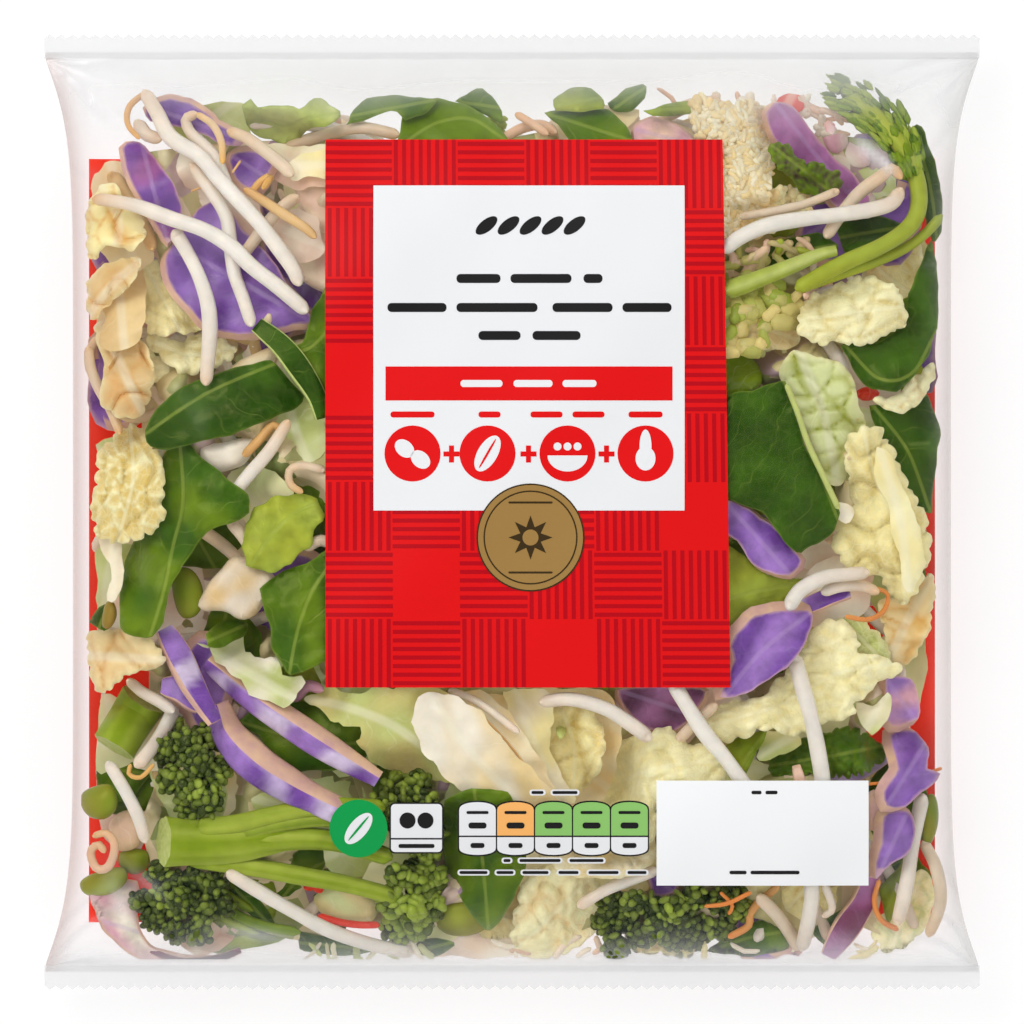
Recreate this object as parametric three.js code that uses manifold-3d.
// A sealed pillow bag of stir-fry vegetables, lying on its back with the printed front up.
// Millimetres, +Z up. The origin is the middle of the footprint, on the surface the bag lies on.
// X runs across the front, and +Y points to the seal that is the top of the front.
// The clear film closes tightly round its filling, so the bag is one solid: a pillow that is
// flat underneath, domed on top, and pinched at both ends into a thin seal with a zigzag cut.

import * as THREE from "three";
import { mergeVertices } from "three/addons/utils/BufferGeometryUtils.js";
import Module from "manifold-3d";

// Driving dimensions, as measured over the filled bag.
const SEAL_WIDTH = 235; // the film tube's flat width, which the seals keep
const BAG_LENGTH = 240; // from zigzag tip to zigzag tip
const WAIST_WIDTH = 221; // the filled body, drawn in between the seals
const BAG_DEPTH = 43; // from the table to the top of the dome, without the lumps
const SEAL_DEPTH = 6; // each crimped end seal, measured along the bag
const SEAL_THICKNESS = 0.8;
const SEAL_HEIGHT = 13; // the seals' own level above the table
const SIDE_HEIGHT = 17; // level of the widest line half-way along the bag
const TEETH = 83; // zigzag points on each end
const TOOTH_DEPTH = 1;

// How the film leaves the seals and rounds into the pillow. Each reach is a distance from the seal.
const WAIST_REACH = 15;
const WAIST_POWER = 1.2;
const DOME_REACH = 26;
const DOME_POWER = 1.15;
const BELLY_REACH = 18;
const BELLY_POWER = 1.3;
const BELLY_SAG = 1.12; // over 1, so that the back spreads flat where it lies on the table
const DOME_ROUNDING = 2.5; // powers of the cross-section's curves: 2 is an ellipse
const BELLY_ROUNDING = 3;

// Lumps of the filling under the film, the pleats that run out of the seals, and the corner dents.
const LUMP_WAVES = [
  { height: 1.0, acrossLength: 118, alongLength: 146, acrossStart: 0.7, alongStart: 1.3 },
  { height: 0.7, acrossLength: 64, alongLength: 83, acrossStart: 2.1, alongStart: 0.4 },
  { height: 0.45, acrossLength: 39, alongLength: 45, acrossStart: 4.0, alongStart: 2.6 },
];
const PLEAT_HEIGHT = 0.9;
const PLEAT_SPACING = 17;
const PLEAT_REACH = 15;
const DENT_DEPTH = 2.6;
const DENT_INSET = 24; // from the waist's side line, across the bag
const DENT_DISTANCE = 19; // from the seal, along the bag
const DENT_SIZE = 9;

// How finely the pillow is faceted.
const SECTION_STEPS = 72;
const LENGTH_STEPS = 54;

const bodyHalf = BAG_LENGTH / 2 - SEAL_DEPTH;
const overlapIntoSeal = 1.5; // how far the pillow's thin ends run inside the seals
const thinEnd = SEAL_THICKNESS / 2 - 0.1; // half the pillow's thickness there

// How far a form has filled out at a distance from the seal: 0 at the seal, near 1 well inside.
function filledOut(distance, reach, power) {
  return 1 - Math.exp(-Math.pow(Math.max(distance, 0) / reach, power));
}

function distanceFromSeal(y) {
  return bodyHalf - Math.abs(y);
}

function halfWidth(y) {
  const drawnIn = (SEAL_WIDTH - WAIST_WIDTH) / 2;
  const waist = filledOut(distanceFromSeal(y), WAIST_REACH, WAIST_POWER);
  return SEAL_WIDTH / 2 - thinEnd - drawnIn * waist;
}

// The level of the line where front and back meet at the bag's side.
function sideLevel(y) {
  const rise = filledOut(distanceFromSeal(y), DOME_REACH, DOME_POWER);
  return SEAL_HEIGHT + (SIDE_HEIGHT - SEAL_HEIGHT) * rise;
}

// Uneven relief of the filled front, fading out at the sides and the seals.
function frontRelief(x, y, across) {
  const distance = distanceFromSeal(y);
  let lumps = 0;
  for (const wave of LUMP_WAVES) {
    const acrossWave = Math.sin((2 * Math.PI * x) / wave.acrossLength + wave.acrossStart);
    const alongWave = Math.sin((2 * Math.PI * y) / wave.alongLength + wave.alongStart);
    lumps += wave.height * acrossWave * alongWave;
  }
  const inside = filledOut(distance, DOME_REACH, DOME_POWER) * (1 - Math.pow(Math.abs(across), 4));
  const pleatFade = Math.exp(-distance / PLEAT_REACH) * filledOut(distance, PLEAT_REACH / 2, 1);
  const pleats = PLEAT_HEIGHT * pleatFade * Math.sin((2 * Math.PI * x) / PLEAT_SPACING);
  const fromDentX = Math.abs(x) - (WAIST_WIDTH / 2 - DENT_INSET);
  const fromDentY = distance - DENT_DISTANCE;
  const dent = Math.exp(-(fromDentX ** 2 + fromDentY ** 2) / (2 * DENT_SIZE ** 2));
  return lumps * inside + pleats * (1 - across * across) - DENT_DEPTH * dent;
}

// One point of the film: turn goes once round the cross-section at y, starting at the +X side.
function filmPoint(turn, y) {
  const distance = distanceFromSeal(y);
  const cos = Math.cos(turn);
  const sin = Math.sin(turn);
  const rounding = sin >= 0 ? DOME_ROUNDING : BELLY_ROUNDING;
  const across = Math.sign(cos) * Math.pow(Math.abs(cos), 2 / rounding);
  const outward = Math.pow(Math.abs(sin), 2 / rounding);
  const x = across * halfWidth(y);
  const level = sideLevel(y);
  if (sin >= 0) {
    const dome = (BAG_DEPTH - level) * filledOut(distance, DOME_REACH, DOME_POWER);
    const relief = distance > 0 ? frontRelief(x, y, across) * outward : 0;
    return new THREE.Vector3(x, y, level + Math.max(thinEnd, dome) * outward + relief);
  }
  const belly = level * BELLY_SAG * filledOut(distance, BELLY_REACH, BELLY_POWER);
  return new THREE.Vector3(x, y, Math.max(0, level - Math.max(thinEnd, belly) * outward));
}

// The cross-sections' places, closer together near the seals, where the film bends most.
function sectionPlaces() {
  const end = bodyHalf + overlapIntoSeal;
  const places = [-end];
  for (let i = 0; i <= LENGTH_STEPS; i++) {
    const even = (2 * i) / LENGTH_STEPS - 1;
    places.push(bodyHalf * Math.sin((even * Math.PI) / 2));
  }
  places.push(end);
  return places;
}

// The pillow: cross-sections joined into a skin, with a fan of triangles closing each end.
function pillowGeometry() {
  const positions = [];
  const triangles = [];
  const places = sectionPlaces();
  for (const y of places) {
    for (let i = 0; i < SECTION_STEPS; i++) {
      const point = filmPoint((2 * Math.PI * i) / SECTION_STEPS, y);
      positions.push(point.x, point.y, point.z);
    }
  }
  for (let row = 0; row + 1 < places.length; row++) {
    for (let i = 0; i < SECTION_STEPS; i++) {
      const here = row * SECTION_STEPS + i;
      const beside = row * SECTION_STEPS + ((i + 1) % SECTION_STEPS);
      triangles.push(here, here + SECTION_STEPS, beside);
      triangles.push(beside, here + SECTION_STEPS, beside + SECTION_STEPS);
    }
  }
  const lastRow = (places.length - 1) * SECTION_STEPS;
  const firstCentre = positions.length / 3;
  const lastCentre = firstCentre + 1;
  positions.push(0, places[0], SEAL_HEIGHT, 0, places[places.length - 1], SEAL_HEIGHT);
  for (let i = 0; i < SECTION_STEPS; i++) {
    const next = (i + 1) % SECTION_STEPS;
    triangles.push(firstCentre, i, next);
    triangles.push(lastCentre, lastRow + next, lastRow + i);
  }
  const geometry = new THREE.BufferGeometry();
  geometry.setAttribute("position", new THREE.Float32BufferAttribute(positions, 3));
  geometry.setIndex(triangles);
  return geometry;
}

// An end seal: a thin strip whose outer edge is cut in a zigzag. end is +1 for the top, -1 for the bottom.
function sealGeometry(end) {
  const inner = bodyHalf;
  const tip = BAG_LENGTH / 2;
  const pitch = SEAL_WIDTH / TEETH;
  const outline = new THREE.Shape();
  outline.moveTo(-SEAL_WIDTH / 2, inner);
  outline.lineTo(SEAL_WIDTH / 2, inner);
  outline.lineTo(SEAL_WIDTH / 2, tip - TOOTH_DEPTH);
  for (let tooth = 0; tooth < TEETH; tooth++) {
    const right = SEAL_WIDTH / 2 - tooth * pitch;
    outline.lineTo(right - pitch / 2, tip);
    outline.lineTo(right - pitch, tip - TOOTH_DEPTH);
  }
  const strip = new THREE.ExtrudeGeometry(outline, {
    depth: SEAL_THICKNESS,
    bevelEnabled: false,
  });
  strip.translate(0, 0, -SEAL_THICKNESS / 2);
  if (end < 0) strip.rotateZ(Math.PI);
  strip.translate(0, 0, SEAL_HEIGHT);
  return strip;
}

const wasm = await Module();
wasm.setup();

function toSolid(geometry) {
  const bare = geometry.clone();
  bare.deleteAttribute("normal");
  bare.deleteAttribute("uv");
  const merged = mergeVertices(bare, 1e-4);
  return new wasm.Manifold(
    new wasm.Mesh({
      numProp: 3,
      vertProperties: new Float32Array(merged.attributes.position.array),
      triVerts: new Uint32Array(merged.index.array),
    }),
  );
}

function toGeometry(solid) {
  const mesh = solid.getMesh();
  const geometry = new THREE.BufferGeometry();
  geometry.setAttribute("position", new THREE.BufferAttribute(mesh.vertProperties, 3));
  geometry.setIndex(new THREE.BufferAttribute(mesh.triVerts, 1));
  geometry.computeVertexNormals();
  return geometry;
}

// Clear film over mixed greens, white sprouts and purple cabbage: the colour is their mean.
const filledFilm = new THREE.MeshStandardMaterial({
  color: 0x9fa277,
  roughness: 0.25,
  metalness: 0,
});

const bagSolid = toSolid(pillowGeometry())
  .add(toSolid(sealGeometry(1)))
  .add(toSolid(sealGeometry(-1)));
const bag = new THREE.Mesh(toGeometry(bagSolid), filledFilm);
bag.name = "bag";

const stirFryBag = new THREE.Group();
stirFryBag.add(bag);

export default stirFryBag;
